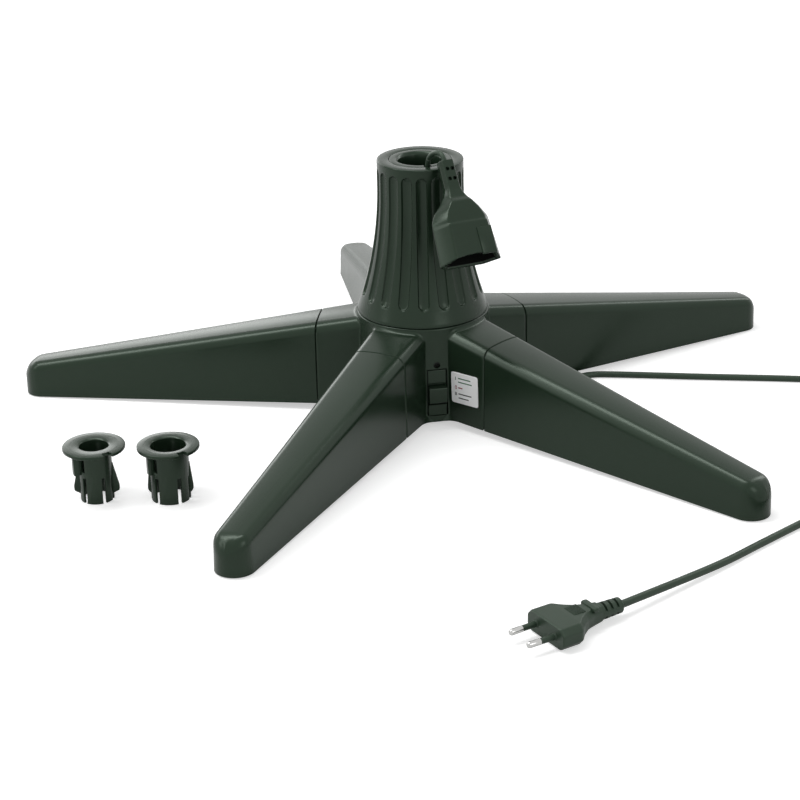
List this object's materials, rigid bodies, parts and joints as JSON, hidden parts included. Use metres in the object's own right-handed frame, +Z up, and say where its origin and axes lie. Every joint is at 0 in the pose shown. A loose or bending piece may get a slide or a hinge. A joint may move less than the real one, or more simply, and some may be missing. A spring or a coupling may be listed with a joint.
{
  "type": "rotating christmas tree stand",
  "caption": "Turning tree stand with splayed legs, a fluted turret with a pole bore, a rocker switch, a mains lead, a trailing socket and loose pole adapters.",
  "frame": {"origin": "on the turning axis at floor level", "axes": "+Z up along the turning axis, -Y towards the rocker switch, +X to the right of someone who faces the switch"},
  "size_m": [0.6058, 0.6794, 0.1998],
  "materials": {
    "dark_green_plastic": "satin gloss, moulded",
    "green_pvc": "soft satin",
    "zinc_plated_steel": "zinc plated",
    "bearing_steel": "ground",
    "brass_strip": "plain",
    "natural_nylon": "moulded",
    "black_plastic": "moulded",
    "motor_can": "plated can",
    "foot_rubber": "soft matte",
    "brush_carbon": "dull",
    "label_film": "printed film",
    "pin_chrome": "polished"
  },
  "bodies": {
    "base": {"hub_shell": "dark_green_plastic", "bottom_cover": "dark_green_plastic", "cover_screws": "zinc_plated_steel", "leg_right": "dark_green_plastic", "leg_back": "dark_green_plastic", "leg_left": "dark_green_plastic", "leg_front_left": "dark_green_plastic", "leg_front_right": "dark_green_plastic", "leg_screws": "zinc_plated_steel", "foot_pads": "foot_rubber", "gear_motor": "motor_can", "motor_screws": "zinc_plated_steel", "lower_race": "bearing_steel", "spindle_bush": "natural_nylon", "brush_holder": "black_plastic", "brushes": "brush_carbon", "terminal_block": "natural_nylon", "switch_body": "black_plastic", "switch_screw": "zinc_plated_steel", "label_plate": "label_film", "cord_gland": "green_pvc", "cord_lead": "green_pvc", "cord_coil": "green_pvc", "cord_tail": "green_pvc", "plug_body": "green_pvc", "pin_sleeves": "black_plastic", "plug_pins": "pin_chrome", "adapter_small": "dark_green_plastic", "adapter_large": "dark_green_plastic"},
    "turret": {"turret_shell": "dark_green_plastic", "turret_base": "dark_green_plastic", "turret_screws": "zinc_plated_steel", "pole_tube": "dark_green_plastic", "upper_race": "bearing_steel", "drive_gear": "natural_nylon", "slip_drum": "black_plastic", "slip_rings": "brass_strip", "retaining_ring": "zinc_plated_steel", "thrust_washer": "natural_nylon", "socket_body": "dark_green_plastic", "socket_contacts": "brass_strip", "socket_lead": "green_pvc"},
    "bearing_cage": {"ball_cage": "brass_strip", "bearing_balls": "bearing_steel"},
    "pinion_shaft": {"pinion": "natural_nylon", "motor_shaft": "bearing_steel"},
    "rocker_switch": {"rocker": "dark_green_plastic"}
  },
  "joints": [
    {"name": "turret_spin", "type": "hinge", "parent": "base", "child": "turret", "pos_m": [0, 0, 0.073], "axis": [0, 0, 1], "continuous": true},
    {"name": "cage_spin", "type": "hinge", "parent": "base", "child": "bearing_cage", "pos_m": [0, 0, 0.073], "axis": [0, 0, 1], "continuous": true},
    {"name": "pinion_spin", "type": "hinge", "parent": "base", "child": "pinion_shaft", "pos_m": [0, 0.03015, 0.035], "axis": [0, 0, 1], "continuous": true},
    {"name": "rocker_tip", "type": "hinge", "parent": "base", "child": "rocker_switch", "pos_m": [0, -0.04308, 0.031], "axis": [1, 0, 0], "range_deg": [0, 26]}
  ],
  "couplings": [
    {"joint": "cage_spin", "follows": "turret_spin", "ratio": 0.5},
    {"joint": "pinion_spin", "follows": "turret_spin", "ratio": -4}
  ]
}
